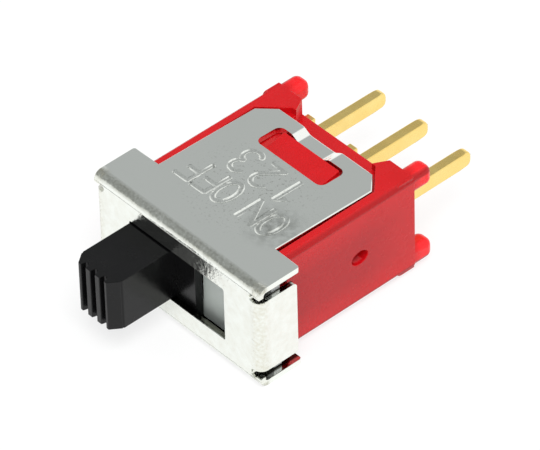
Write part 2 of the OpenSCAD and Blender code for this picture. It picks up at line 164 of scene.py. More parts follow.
# %% Make the sky white below and grey above
WHITE_BELOW = 0.3
GREY_ABOVE = 0.56
GREY_SKY = (0.44, 0.45, 0.455, 1)
world = bpy.data.worlds.new("studio_sky")
bpy.context.scene.world = world
world.use_nodes = True
nodes, links = world.node_tree.nodes, world.node_tree.links
nodes.clear()
place = nodes.new("ShaderNodeTexCoord")
height = nodes.new("ShaderNodeSeparateXYZ")
ramp = nodes.new("ShaderNodeValToRGB")
ramp.color_ramp.elements[0].position = WHITE_BELOW
ramp.color_ramp.elements[0].color = WHITE
ramp.color_ramp.elements[1].position = GREY_ABOVE
ramp.color_ramp.elements[1].color = GREY_SKY
links.new(place.outputs["Generated"], height.inputs[0])
links.new(height.outputs["Z"], ramp.inputs["Fac"])
print("all grey from", round(math.degrees(math.asin(GREY_ABOVE))), "degrees up")

# %% Cut the opening, and show the camera plain white
OPENING_TOWARDS = (0.33, 0.505, 0.785)
OPENING_EDGE = 0.86
OPENING_FULL = 0.93
towards = nodes.new("ShaderNodeVectorMath")
towards.operation = "DOT_PRODUCT"
towards.inputs[1].default_value = OPENING_TOWARDS
opening = nodes.new("ShaderNodeMapRange")
opening.inputs["From Min"].default_value = OPENING_EDGE
opening.inputs["From Max"].default_value = OPENING_FULL
opened = nodes.new("ShaderNodeMix")
opened.data_type = "RGBA"
opened.inputs["B"].default_value = WHITE
seen_by = nodes.new("ShaderNodeLightPath")
direct = nodes.new("ShaderNodeMix")
direct.data_type = "RGBA"
direct.inputs["B"].default_value = WHITE
sky = nodes.new("ShaderNodeBackground")
out = nodes.new("ShaderNodeOutputWorld")
links.new(place.outputs["Generated"], towards.inputs[0])
links.new(towards.outputs["Value"], opening.inputs["Value"])
links.new(opening.outputs["Result"], opened.inputs["Factor"])
links.new(ramp.outputs["Color"], opened.inputs["A"])
links.new(seen_by.outputs["Is Camera Ray"], direct.inputs["Factor"])
links.new(opened.outputs["Result"], direct.inputs["A"])
links.new(direct.outputs["Result"], sky.inputs["Color"])
links.new(sky.outputs[0], out.inputs["Surface"])
print("made", world.name, "with its opening")

# %% [markdown]
# ## Lamps
# One square lamp high in front and a faint one at the side give the plastic its
# shape. In bright metal a lamp would show as a burnt-out patch in every groove,
# so the lamps are kept out of mirrored images: metal shows only sky and paper.

# %% Hang the lamps
LAMPS_AIM = Vector((0, 4 * MM, 0))


def hang_lamp(name, place_mm, size_mm, watts):
    """A square lamp that points at the middle of the switch."""
    data = bpy.data.lights.new(name, "AREA")
    data.size = size_mm * MM
    data.energy = watts
    lamp = bpy.data.objects.new(name, data)
    bpy.context.scene.collection.objects.link(lamp)
    lamp.location = Vector(place_mm) * MM
    aim = LAMPS_AIM - lamp.location
    lamp.rotation_euler = aim.to_track_quat("-Z", "Y").to_euler()
    lamp.visible_glossy = False


hang_lamp("key", place_mm=(90, -60, 230), size_mm=150, watts=0.42)
hang_lamp("side", place_mm=(260, 60, 90), size_mm=160, watts=0.05)
bpy.context.scene.view_settings.view_transform = "Standard"

# %% [markdown]
# ## Shared effects
# Three effects come back in several finishes, so each is built once as a node
# group with named inputs: fine grain for a bump height, cloudy variation for a
# roughness or a colour, and scattered specks for handling marks. Each material
# places the group and gives it values of its own.

# %% Helper that starts a node group
def new_group(name, inputs, output):
    group = bpy.data.node_groups.new(name, "ShaderNodeTree")
    for title, value in inputs:
        socket = group.interface.new_socket(
            name=title, in_out="INPUT", socket_type="NodeSocketFloat")
        socket.default_value = value
    group.interface.new_socket(name=output, in_out="OUTPUT", socket_type="NodeSocketFloat")
    given = group.nodes.new("NodeGroupInput")
    result = group.nodes.new("NodeGroupOutput")
    return group, group.nodes, group.links, given, result


print("node group helper ready")

# %% Group for fine grain
def grain_group():
    """A height between 0 and 1 on the surface, at a size in millimetres."""
    group, nodes, links, given, result = new_group(
        "fine_grain", [("Size mm", 0.1), ("Detail", 4.0)], "Height")
    where = nodes.new("ShaderNodeTexCoord")
    per_metre = nodes.new("ShaderNodeMath")
    per_metre.operation = "DIVIDE"
    per_metre.inputs[0].default_value = 1 / MM
    noise = nodes.new("ShaderNodeTexNoise")
    noise.inputs["Roughness"].default_value = 0.6
    links.new(given.outputs["Size mm"], per_metre.inputs[1])
    links.new(where.outputs["Object"], noise.inputs["Vector"])
    links.new(per_metre.outputs[0], noise.inputs["Scale"])
    links.new(given.outputs["Detail"], noise.inputs["Detail"])
    links.new(noise.outputs["Fac"], result.inputs["Height"])
    return group


FINE_GRAIN = grain_group()
print("made the group", FINE_GRAIN.name)

# %% Group for cloudy variation
# Most of the grain's heights lie between these two, which become Low and High.
USUAL_LOW, USUAL_HIGH = 0.35, 0.65


def cloud_group():
    """A value that drifts between Low and High over the surface."""
    group, nodes, links, given, result = new_group(
        "cloudy_value", [("Size mm", 1.0), ("Low", 0.2), ("High", 0.4)], "Value")
    grain = nodes.new("ShaderNodeGroup")
    grain.node_tree = FINE_GRAIN
    spread = nodes.new("ShaderNodeMapRange")
    spread.inputs["From Min"].default_value = USUAL_LOW
    spread.inputs["From Max"].default_value = USUAL_HIGH
    links.new(given.outputs["Size mm"], grain.inputs["Size mm"])
    links.new(grain.outputs["Height"], spread.inputs["Value"])
    links.new(given.outputs["Low"], spread.inputs["To Min"])
    links.new(given.outputs["High"], spread.inputs["To Max"])
    links.new(spread.outputs["Result"], result.inputs["Value"])
    return group


CLOUDY_VALUE = cloud_group()
print("made the group", CLOUDY_VALUE.name)

# %% Group for scattered specks
# A speck is where the grain's height is over this limit, less the wanted share.
SPECK_LIMIT = 0.78
SPECK_EDGE = 0.04


def speck_group():
    """A mask that is 1 in small spots and 0 between them."""
    group, nodes, links, given, result = new_group(
        "scattered_specks", [("Size mm", 0.15), ("Share", 0.1)], "Mask")
    grain = nodes.new("ShaderNodeGroup")
    grain.node_tree = FINE_GRAIN
    grain.inputs["Detail"].default_value = 2.0
    limit = nodes.new("ShaderNodeMath")
    limit.operation = "SUBTRACT"
    limit.inputs[0].default_value = SPECK_LIMIT
    over = nodes.new("ShaderNodeMath")
    over.operation = "SUBTRACT"
    spread = nodes.new("ShaderNodeMapRange")
    spread.inputs["From Min"].default_value = 0.0
    spread.inputs["From Max"].default_value = SPECK_EDGE
    links.new(given.outputs["Size mm"], grain.inputs["Size mm"])
    links.new(given.outputs["Share"], limit.inputs[1])
    links.new(grain.outputs["Height"], over.inputs[0])
    links.new(limit.outputs[0], over.inputs[1])
    links.new(over.outputs[0], spread.inputs["Value"])
    links.new(spread.outputs["Result"], result.inputs["Mask"])
    return group


SCATTERED_SPECKS = speck_group()
print("made the group", SCATTERED_SPECKS.name)

# %% Helpers that start a finish and place a group in it
def new_finish(name):
    finish = bpy.data.materials.new(name)
    finish.use_nodes = True
    tree = finish.node_tree
    return finish, tree.nodes, tree.links, tree.nodes["Principled BSDF"]


def place_group(nodes, group, **values):
    """The group as a node; Size_mm=0.1 sets its input Size mm."""
    node = nodes.new("ShaderNodeGroup")
    node.node_tree = group
    for title, value in values.items():
        node.inputs[title.replace("_", " ")].default_value = value
    return node


print("finish helpers ready")

# %% Helpers that join values, colours and bumps
def combine(nodes, links, operation, first, second):
    """Works out one value from two, each a number or a socket."""
    node = nodes.new("ShaderNodeMath")
    node.operation = operation
    for value, socket in ((first, node.inputs[0]), (second, node.inputs[1])):
        if isinstance(value, (int, float)):
            socket.default_value = value
        else:
            links.new(value, socket)
    return node.outputs[0]


def mix_colours(nodes, links, mask, first, second):
    """first where the mask is 0, second where it is 1; each is a colour or a socket."""
    mix = nodes.new("ShaderNodeMix")
    mix.data_type = "RGBA"
    links.new(mask, mix.inputs["Factor"])
    for value, socket in ((first, mix.inputs["A"]), (second, mix.inputs["B"])):
        if isinstance(value, tuple):
            socket.default_value = (*value, 1)
        else:
            links.new(value, socket)
    return mix.outputs["Result"]


def add_bump(nodes, links, height, shader, depth_mm, below=None):
    """A bump whose depth is in millimetres, on top of the one that is below it."""
    bump = nodes.new("ShaderNodeBump")
    bump.inputs["Distance"].default_value = depth_mm * MM
    links.new(height, bump.inputs["Height"])
    if below is not None:
        links.new(below.outputs["Normal"], bump.inputs["Normal"])
    links.new(bump.outputs["Normal"], shader.inputs["Normal"])
    return bump


print("value, colour and bump helpers ready")

# %% [markdown]
# ## Where an effect shows
# Wear and dirt sit in certain places: along a bend, round the marks, in a corner.
# They could be painted on an image, but masks that read the surface's own
# coordinates need none. A mask is 1 where an effect shows fully and 0 where it
# doesn't show, and masks are multiplied to join their conditions.

# %% Masks from one coordinate
BAND_FULL = 0.4


def coordinate(nodes, links, axis):
    """Where the surface is; X and Z count from the middle to either side."""
    where = nodes.new("ShaderNodeTexCoord")
    split = nodes.new("ShaderNodeSeparateXYZ")
    links.new(where.outputs["Object"], split.inputs[0])
    if axis == "Y":
        return split.outputs[axis]
    side = nodes.new("ShaderNodeMath")
    side.operation = "ABSOLUTE"
    links.new(split.outputs[axis], side.inputs[0])
    return side.outputs[0]


def fade(nodes, links, value, none_mm, full_mm):
    """0 where the value is none_mm, 1 where it is full_mm."""
    near = nodes.new("ShaderNodeMapRange")
    near.inputs["From Min"].default_value = none_mm * MM
    near.inputs["From Max"].default_value = full_mm * MM
    links.new(value, near.inputs["Value"])
    return near.outputs["Result"]


def band_mask(nodes, links, axis, middle_mm, width_mm):
    """1 near the plane where the coordinate is middle_mm, 0 at width_mm from it."""
    here = coordinate(nodes, links, axis)
    away = combine(nodes, links, "SUBTRACT", here, middle_mm * MM)
    size = nodes.new("ShaderNodeMath")
    size.operation = "ABSOLUTE"
    links.new(away, size.inputs[0])
    return fade(nodes, links, size.outputs[0], width_mm, width_mm * BAND_FULL)


print("masks from one coordinate ready")

# %% Masks for rooms, spots and broken patches
SPOT_FULL = 0.2


def room_mask(nodes, links, *walls):
    """1 in a room with soft walls: an axis, where the room ends, where it is full."""
    mask = 1.0
    for axis, none_mm, full_mm in walls:
        wall = fade(nodes, links, coordinate(nodes, links, axis), none_mm, full_mm)
        mask = combine(nodes, links, "MULTIPLY", mask, wall)
    return mask


def spot_mask(nodes, links, middle_mm, radius_mm):
    """1 near a point, falling to 0 at radius_mm from it."""
    where = nodes.new("ShaderNodeTexCoord")
    away = nodes.new("ShaderNodeVectorMath")
    away.operation = "DISTANCE"
    away.inputs[1].default_value = Vector(middle_mm) * MM
    links.new(where.outputs["Object"], away.inputs[0])
    return fade(nodes, links, away.outputs["Value"], radius_mm, radius_mm * SPOT_FULL)


def broken_up(nodes, links, mask, size_mm, strength, least=0.0):
    """The mask with cloudy gaps in it, so that no edge of it is seen."""
    clouds = place_group(nodes, CLOUDY_VALUE, Size_mm=size_mm, Low=least, High=strength)
    return combine(nodes, links, "MULTIPLY", mask, clouds.outputs["Value"])


print("masks for rooms, spots and patches ready")

# %% [markdown]
# ## Tinned sheet steel
# The bracket is pressed from bright tinned strip. Such strip is almost a mirror,
# with a faint waviness, a soft bloom that changes its gloss from place to place,
# fine ripples on its front, and crumpled corners where the tin skin has
# stretched. Gloss and bump make most of its look, and stains and painted shade
# the rest.

# %% Gloss of the tin
FRONT_DULLER = 0.02
tin, nodes, links, shader = new_finish("tinned_steel")
shader.inputs["Metallic"].default_value = 1.0
bloom = place_group(nodes, CLOUDY_VALUE, Size_mm=1.6, Low=0.07, High=0.14)
front_face = band_mask(nodes, links, "Y", middle_mm=0.0, width_mm=0.25)
duller = combine(nodes, links, "MULTIPLY", front_face, FRONT_DULLER)
roughness = combine(nodes, links, "ADD", bloom.outputs["Value"], duller)
links.new(roughness, shader.inputs["Roughness"])
print("gloss set on", tin.name)

# %% Waves, grain, ripples and crumpled corners of the tin
def masked_grain(nodes, links, mask, size_mm, detail):
    """Fine grain where the mask is 1, and a flat surface where it is 0."""
    grain = place_group(nodes, FINE_GRAIN, Size_mm=size_mm, Detail=detail)
    return combine(nodes, links, "MULTIPLY", grain.outputs["Height"], mask)


front_bend = band_mask(nodes, links, "Y", middle_mm=0.1, width_mm=0.55)
side_bend = band_mask(nodes, links, "X", middle_mm=4.8, width_mm=0.45)
corner = combine(nodes, links, "MULTIPLY", front_bend, side_bend)
waves = place_group(nodes, FINE_GRAIN, Size_mm=2.2, Detail=2.0)
grain = place_group(nodes, FINE_GRAIN, Size_mm=0.12, Detail=4.0)
ripples = masked_grain(nodes, links, front_face, size_mm=0.26, detail=4.0)
crumples = masked_grain(nodes, links, corner, size_mm=0.28, detail=5.0)
tin_bump = None
for bump_height, depth_mm in (
    (waves.outputs["Height"], 0.02),
    (grain.outputs["Height"], 0.0015),
    (ripples, 0.028),
    (crumples, 0.055),
):
    tin_bump = add_bump(nodes, links, bump_height, shader, depth_mm, tin_bump)
print("four bumps set on", tin.name)

# %% [markdown]
# The flanks of the stamped marks are torn a little and hold dirt. They are where
# the surface lies below the plane of the wing, which leans inwards from the ear
# on, so the mask compares the surface's height with that leaning plane.

# %% Torn and dirty grooves of the marks
WING_TOE = math.radians(1.6)
EAR_END = 2.22
WING_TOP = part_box("bracket")[1].z / MM
SUNK_FROM, SUNK_FULL = 0.006, 0.02
wing_plane = WING_TOP + EAR_END * math.tan(WING_TOE)
lean = combine(nodes, links, "MULTIPLY", coordinate(nodes, links, "Y"), math.tan(WING_TOE))
level = combine(nodes, links, "ADD", coordinate(nodes, links, "Z"), lean)
sunk = fade(nodes, links, level, wing_plane - SUNK_FROM, wing_plane - SUNK_FULL)
marks_field = room_mask(
    nodes, links, ("X", 3.0, 2.95), ("Y", 2.3, 2.35), ("Y", 5.8, 5.75), ("Z", 2.4, 2.42))
groove = combine(nodes, links, "MULTIPLY", sunk, marks_field)
torn = masked_grain(nodes, links, groove, size_mm=0.07, detail=3.0)
add_bump(nodes, links, torn, shader, 0.004, tin_bump)
dirt = broken_up(nodes, links, groove, size_mm=0.06, strength=0.35)
print("plane of the wing, carried on to the front:", round(wing_plane, 3), "mm up")

# %% [markdown]
# Pressing and handling leave stains: flecks and a smudge by the marks, dark
# cracks in the bends between front and wings, worn corners, and grime on the
# front and the ears. The bends between front and wings also get a painted shade.
# Two more coats of painted shade stand for missing light, since little of it gets
# to the rim of the window and none to the inner side of the folded front.

# %% Places of the flecks, the smudge and the wear
FLECK_STRENGTH = 0.55
specks = place_group(nodes, SCATTERED_SPECKS, Size_mm=0.13, Share=0.17)
near_marks = spot_mask(nodes, links, middle_mm=(0.2, 4.0, 2.6), radius_mm=3.4)
flecks = combine(nodes, links, "MULTIPLY", specks.outputs["Mask"], near_marks)
faint_flecks = combine(nodes, links, "MULTIPLY", flecks, FLECK_STRENGTH)
by_marks = spot_mask(nodes, links, middle_mm=(2.5, 3.1, 2.6), radius_mm=1.5)
smudge = broken_up(nodes, links, by_marks, size_mm=0.3, strength=0.65)
worn = broken_up(nodes, links, corner, size_mm=0.16, strength=0.4)
front_and_ears = room_mask(nodes, links, ("Z", 2.5, 2.2), ("Y", 2.7, 2.3))
grime = broken_up(nodes, links, front_and_ears, size_mm=0.5, strength=0.24)
print("places of the flecks, the smudge and the wear ready")

# %% Places of the cracks and the painted shade: bends, window's rim and inside
behind_front = band_mask(nodes, links, "Y", middle_mm=0.2, width_mm=0.3)
near_wing = band_mask(nodes, links, "Z", middle_mm=2.56, width_mm=0.2)
wing_bend = combine(nodes, links, "MULTIPLY", behind_front, near_wing)
# painted shade: the bends between front and wings are darkened in broken clouds
painted_bend_shade = broken_up(nodes, links, wing_bend, size_mm=0.9, strength=0.6, least=0.3)
cracks = broken_up(nodes, links, wing_bend, size_mm=0.13, strength=0.45)
# painted shade: the window's rim and the inner side of the folded front are darkened, as little
# light gets there
window_rim = room_mask(
    nodes, links, ("X", 2.9, 2.86), ("Y", 0.03, 0.07), ("Y", 0.32, 0.3), ("Z", 1.44, 1.4))
inside = room_mask(
    nodes, links, ("X", 4.8, 4.72), ("Y", 0.22, 0.3), ("Y", 2.3, 2.2), ("Z", 2.44, 2.38))
print("places of the darker parts ready")

# %% Put the stains and the painted shade on the tin
tone = (0.92, 0.95, 0.9)
for mask, stain_or_painted_shade in (
    (faint_flecks, (0.4, 0.4, 0.36)),
    (smudge, (0.3, 0.31, 0.28)),
    (dirt, (0.3, 0.31, 0.28)),
    # painted shade in the bends between front and wings
    (painted_bend_shade, (0.45, 0.46, 0.38)),
    (cracks, (0.25, 0.25, 0.21)),
    (worn, (0.62, 0.58, 0.42)),
    (grime, (0.68, 0.65, 0.54)),
    # painted shade on the window's rim and on the inner side of the folded front
    (window_rim, (0.22, 0.215, 0.18)),
    (inside, (0.09, 0.085, 0.07)),
):
    tone = mix_colours(nodes, links, mask, tone, stain_or_painted_shade)
links.new(tone, shader.inputs["Base Color"])
print("made", tin.name)

# %% [markdown]
# ## Moulded plastics
# The housing is red glass-filled nylon, the slider black, the guide frame and the
# shield light grey, and the plunger natural acetal. All have the same fine texture
# from a spark-eroded mould, so one function makes them, with the colour, gloss and
# depth of texture changed. It also takes painted light and shade, each a colour
# and the walls of the room that has it.

# %% Function for a moulded plastic
def moulded_plastic(name, colour, tint, gloss, texture_mm, specular, painted_light_and_shade=()):
    finish, nodes, links, shader = new_finish(name)
    shader.inputs["Specular IOR Level"].default_value = specular
    gloss_low, gloss_high = gloss
    polish = place_group(nodes, CLOUDY_VALUE, Size_mm=0.7, Low=gloss_low, High=gloss_high)
    links.new(polish.outputs["Value"], shader.inputs["Roughness"])
    flow = place_group(nodes, CLOUDY_VALUE, Size_mm=2.4, Low=0.0, High=1.0)
    tone = mix_colours(nodes, links, flow.outputs["Value"], colour, tint)
    # each entry paints light or shade into one room of the part
    for shade, *walls in painted_light_and_shade:
        tone = mix_colours(nodes, links, room_mask(nodes, links, *walls), tone, shade)
    links.new(tone, shader.inputs["Base Color"])
    coarse = place_group(nodes, FINE_GRAIN, Size_mm=0.5, Detail=2.0)
    fine = place_group(nodes, FINE_GRAIN, Size_mm=0.06, Detail=4.0)
    under = add_bump(nodes, links, coarse.outputs["Height"], shader, texture_mm * 2)
    add_bump(nodes, links, fine.outputs["Height"], shader, texture_mm, under)
    return finish


print("moulded plastic ready")

# %% Red nylon
# painted shade: the nose inside the bracket, where little light gets, is painted almost black
NOSE_PAINTED_SHADE = ((0.05, 0.002, 0.002), ("Y", 2.3, 2.1))
# painted shade: the flat sides are darker than the top, fully in the middle of their height and
# at the front, fading towards the edges and the rear
SIDES_PAINTED_SHADE = ((0.42, 0.004, 0.007), ("X", 4.073, 4.087), ("Z", 2.7, 0.9), ("Y", 10.5, 6.5))
# painted shade on the floor and wall of the round recess
RECESS_PAINTED_SHADE = (
    (0.55, 0.005, 0.01),
    ("X", 4.07, 4.04), ("X", 3.6, 3.7), ("Z", 0.5, 0.42), ("Y", 5.6, 5.7), ("Y", 6.86, 6.78),
)
# painted light: the nubs are painted brighter than the rest of the housing
NUBS_PAINTED_LIGHT = ((0.86, 0.012, 0.016), ("Y", 9.28, 9.7))
# painted shade on the slope along each long edge, behind the bracket
SLOPES_PAINTED_SHADE = (
    (0.38, 0.003, 0.005),
    ("X", 3.84, 3.9), ("Z", 2.5, 2.36), ("Z", 2.14, 2.24), ("Y", 2.0, 2.4),
)
red_nylon = moulded_plastic(
    "red_nylon", colour=(0.64, 0.005, 0.009), tint=(0.58, 0.004, 0.006),
    gloss=(0.2, 0.32), texture_mm=0.003, specular=0.36,
    painted_light_and_shade=[NOSE_PAINTED_SHADE, SIDES_PAINTED_SHADE, RECESS_PAINTED_SHADE, NUBS_PAINTED_LIGHT, SLOPES_PAINTED_SHADE])
red_shader = red_nylon.node_tree.nodes["Principled BSDF"]
red_shader.inputs["Subsurface Weight"].default_value = 0.12
red_shader.inputs["Subsurface Scale"].default_value = 0.3 * MM
print("made", red_nylon.name)

# %% Black, grey and natural plastics
black_nylon = moulded_plastic(
    "black_nylon", colour=(0.0025, 0.0025, 0.0028), tint=(0.004, 0.004, 0.0042),
    gloss=(0.2, 0.28), texture_mm=0.003, specular=0.28)
grey_nylon = moulded_plastic(
    "grey_nylon", colour=(0.6, 0.61, 0.6), tint=(0.55, 0.565, 0.56),
    gloss=(0.4, 0.5), texture_mm=0.003, specular=0.5)
grey_film = moulded_plastic(
    "grey_film", colour=(0.59, 0.64, 0.6), tint=(0.55, 0.59, 0.56),
    gloss=(0.35, 0.45), texture_mm=0.002, specular=0.5)
natural_acetal = moulded_plastic(
    "natural_acetal", colour=(0.8, 0.78, 0.7), tint=(0.76, 0.74, 0.66),
    gloss=(0.25, 0.35), texture_mm=0.001, specular=0.5)
print("made", [m.name for m in (black_nylon, grey_nylon, grey_film, natural_acetal)])

# %% [markdown]
# ## Gold plating and spring wire
# The terminals and the rocker are gold plated. The plating follows the rolled
# strip below it, whose drawn lines run along each piece, so the bump is stretched
# along that direction. The wire of the spring has a plain steel finish, with the
# same bump left unstretched, because its direction turns with the coil.

# %% Function for a drawn metal
LINE_WIDTH_MM = 0.04


def drawn_metal(name, colour, tint, gloss, stretched):
    finish, nodes, links, shader = new_finish(name)
    shader.inputs["Metallic"].default_value = 1.0
    gloss_low, gloss_high = gloss
    polish = place_group(nodes, CLOUDY_VALUE, Size_mm=0.5, Low=gloss_low, High=gloss_high)
    links.new(polish.outputs["Value"], shader.inputs["Roughness"])
    drift = place_group(nodes, CLOUDY_VALUE, Size_mm=1.1, Low=0.0, High=1.0)
    tone = mix_colours(nodes, links, drift.outputs["Value"], colour, tint)
    links.new(tone, shader.inputs["Base Color"])
    where = nodes.new("ShaderNodeTexCoord")
    stretch = nodes.new("ShaderNodeMapping")
    stretch.inputs["Scale"].default_value = stretched
    lines = nodes.new("ShaderNodeTexNoise")
    lines.inputs["Scale"].default_value = 1 / (LINE_WIDTH_MM * MM)
    links.new(where.outputs["Object"], stretch.inputs["Vector"])
    links.new(stretch.outputs["Vector"], lines.inputs["Vector"])
    waves = place_group(nodes, FINE_GRAIN, Size_mm=0.9, Detail=2.0)
    under = add_bump(nodes, links, waves.outputs["Height"], shader, 0.02)
    add_bump(nodes, links, lines.outputs["Fac"], shader, 0.0008, under)
    return finish


print("drawn metal ready")

# %% Plated and plain metal finishes
ALONG_PIN = (1, 0.06, 1)
ALONG_ROCKER = (0.06, 1, 1)
UNSTRETCHED = (1, 1, 1)
gold_plate = drawn_metal(
    "gold_plate", colour=(1.0, 0.77, 0.28), tint=(1.0, 0.73, 0.24),
    gloss=(0.22, 0.34), stretched=ALONG_PIN)
gold_strip = drawn_metal(
    "gold_strip", colour=(1.0, 0.7, 0.24), tint=(0.95, 0.64, 0.2),
    gloss=(0.16, 0.3), stretched=ALONG_ROCKER)
spring_wire = drawn_metal(
    "spring_wire", colour=(0.6, 0.6, 0.6), tint=(0.5, 0.5, 0.51),
    gloss=(0.25, 0.35), stretched=UNSTRETCHED)
print("made", [m.name for m in (gold_plate, gold_strip, spring_wire)])

# %% [markdown]
# ## Copying a solid to work on it
# A solid from the frame has perfectly sharp edges, and real pressed or moulded
# edges never are: their small radius catches a line of light. So each solid is
# copied, its loose triangles are merged into whole faces, and a bevel rounds the
# edges. The work is done on a bench a thousand times larger, because modelling
# operators round off lengths of a few micrometres.

# %% Helpers for copying a solid to the bench
BENCH = 1000.0
MERGE_WITHIN = 0.0005
CUT_WITHIN = 0.0002
SAME_PLANE = math.radians(0.6)


def only(obj):
    """Makes obj the one selected and active object."""
    deselect_all()
    obj.select_set(True)
    bpy.context.view_layer.objects.active = obj


def bench_copy(node, name, halve_at=()):
    """A copy of a solid's mesh, a thousand times larger, with its triangles merged.

    A flat face with a hole in it can't be one polygon, so the copy is first cut in
    half on the planes of halve_at, which run through the middle of such holes.
    """
    obj = bpy.data.objects.new(name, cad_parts[node].data.copy())
    bpy.context.scene.collection.objects.link(obj)
    obj.data.materials.clear()
    obj.data.transform(Matrix.Scale(BENCH, 4))
    only(obj)
    bpy.ops.object.mode_set(mode="EDIT")
    bpy.ops.mesh.select_all(action="SELECT")
    bpy.ops.mesh.remove_doubles(threshold=MERGE_WITHIN)
    for place, normal in halve_at:
        bpy.ops.mesh.select_all(action="SELECT")
        bpy.ops.mesh.bisect(plane_co=place, plane_no=normal, threshold=CUT_WITHIN)
        bpy.ops.mesh.mark_seam(clear=False)
    bpy.ops.mesh.select_all(action="SELECT")
    bpy.ops.mesh.dissolve_limited(angle_limit=SAME_PLANE, delimit={"SEAM"})
    bpy.ops.object.mode_set(mode="OBJECT")
    return obj


print("bench scale:", BENCH)

# %% Helpers for modifiers
SHARP_ANGLE = math.radians(35)


def apply_modifier(obj, kind, **settings):
    only(obj)
    modifier = obj.modifiers.new(kind.lower(), kind)
    for key, value in settings.items():
        setattr(modifier, key, value)
    bpy.ops.object.modifier_apply(modifier=modifier.name)


def boolean(obj, operation, other):
    """Cuts the other object from obj or joins it to obj, and takes the other away."""
    apply_modifier(obj, "BOOLEAN", operation=operation, object=other, solver="MANIFOLD")
    bpy.data.objects.remove(other, do_unlink=True)


def round_edges(obj, width_mm, segments=2, share=None):
    """Rounds the edges that stick out; share gives an edge a part of the width, or none."""
    mesh = bmesh.new()
    mesh.from_mesh(obj.data)
    weight = mesh.edges.layers.float.new("bevel_weight_edge")
    for edge in mesh.edges:
        if edge.is_convex and edge.calc_face_angle() > SHARP_ANGLE:
            edge[weight] = 1.0 if share is None else float(share(edge))
    mesh.to_mesh(obj.data)
    mesh.free()
    apply_modifier(
        obj, "BEVEL", width=width_mm, segments=segments, limit_method="WEIGHT",
        use_clamp_overlap=False, loop_slide=False,
    )


print("edges sharper than", round(math.degrees(SHARP_ANGLE)), "degrees are rounded")

# %% Helper that finishes a piece
TINY = 0.0004
SMOOTH_ANGLE = math.radians(32)


def finish_piece(obj, finish, body, slot, *stands_for):
    """Takes the piece off the bench, gives it its finish and puts it on its body."""
    only(obj)
    bpy.ops.object.mode_set(mode="EDIT")
    bpy.ops.mesh.select_all(action="SELECT")
    bpy.ops.mesh.remove_doubles(threshold=TINY)
    bpy.ops.mesh.dissolve_degenerate(threshold=TINY)
    bpy.ops.object.mode_set(mode="OBJECT")
    bpy.ops.object.shade_smooth_by_angle(angle=SMOOTH_ANGLE)
    apply_modifier(obj, "WEIGHTED_NORMAL", keep_sharp=True, weight=90)
    obj.data.transform(Matrix.Scale(1 / BENCH, 4))
    obj.data.materials.clear()
    obj.data.materials.append(finish)
    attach(obj, body)
    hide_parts(*stands_for)
    print(obj.name, len(obj.data.polygons), "faces")


print("faces up to", round(math.degrees(SMOOTH_ANGLE)), "degrees apart look smooth")

# %% [markdown]
# ## Stamped marks
# The marks are pressed into the upper wing: the numbers of the three terminals
# and the two positions. A pressed line is a shallow round groove, so each mark is
# drawn as a line path with a round section, flattened a little, laid just above
# the metal, and taken away from it with a Boolean. One slope of each groove then
# catches the light and the other doesn't. They read from the terminals' side.

# %% Draw the strokes of the marks
FIELD_HIGH = 1.8


def arc(x, y, rx, ry, start, end, steps):
    """Points on an ellipse round x, y, from the start to the end in degrees."""
    turns = [math.radians(start + (end - start) * i / steps) for i in range(steps + 1)]
    return [(x + rx * math.cos(turn), y + ry * math.sin(turn)) for turn in turns]


# Each mark is a list of strokes on a field 1 wide and FIELD_HIGH high.
STROKES = {
    "O": [arc(0.5, 0.9, 0.5, 0.9, 0, 360, 36)],
    "N": [[(0, 0), (0, 1.8)], [(0, 1.8), (1, 0)], [(1, 0), (1, 1.8)]],
    "F": [[(0, 0), (0, 1.8)], [(0, 1.8), (1, 1.8)], [(0, 0.95), (0.8, 0.95)]],
    "1": [[(0.15, 1.4), (0.55, 1.8)], [(0.55, 1.8), (0.55, 0)]],
    "2": [arc(0.5, 1.3, 0.46, 0.5, 160, -35, 18) + [(0.05, 0.02)], [(0.05, 0), (1, 0)]],
    "3": [arc(0.48, 1.35, 0.42, 0.45, 150, -80, 16), arc(0.48, 0.47, 0.48, 0.48, 75, -150, 18)],
}
print("marks drawn:", sorted(STROKES))

# %% Set the marks out in two lines
WORD_GAP = 0.5


def lay_out(text, low_y, high, wide, gap):
    """The strokes of a line of text, turned half round to read from the pins' side."""
    widths = [WORD_GAP if mark == " " else wide for mark in text]
    x = -(sum(widths) + gap * (len(text) - 1)) / 2
    for mark, step in zip(text, widths):
        for stroke in STROKES.get(mark, []):
            yield [(-x - px * wide, low_y + high - py * high / FIELD_HIGH) for px, py in stroke]
        x += step + gap


numbers = lay_out("123", low_y=4.2, high=1.5, wide=0.86, gap=0.42)
positions = lay_out("ON OFF", low_y=2.42, high=1.4, wide=0.8, gap=0.2)
strokes = [*numbers, *positions]
print("strokes set out:", len(strokes))

# %% Helper that lets the ends of a stroke run thin
THIN_END = 0.05


def run_thin(points, line_mm):
    """The points with one more beyond each end, and the bar's thickness at each."""
    way = [Vector(p) for p in points]
    before = way[0] + (way[0] - way[1]).normalized() * line_mm / 2
    after = way[-1] + (way[-1] - way[-2]).normalized() * line_mm / 2
    return [before, *way, after], [THIN_END, *[1.0] * len(way), THIN_END]


print("a stroke's ends have", THIN_END, "of its thickness")

# %% Helper that makes one stroke a bar
SAME_POINT = 1e-6
BAR_MERGE = 0.0001


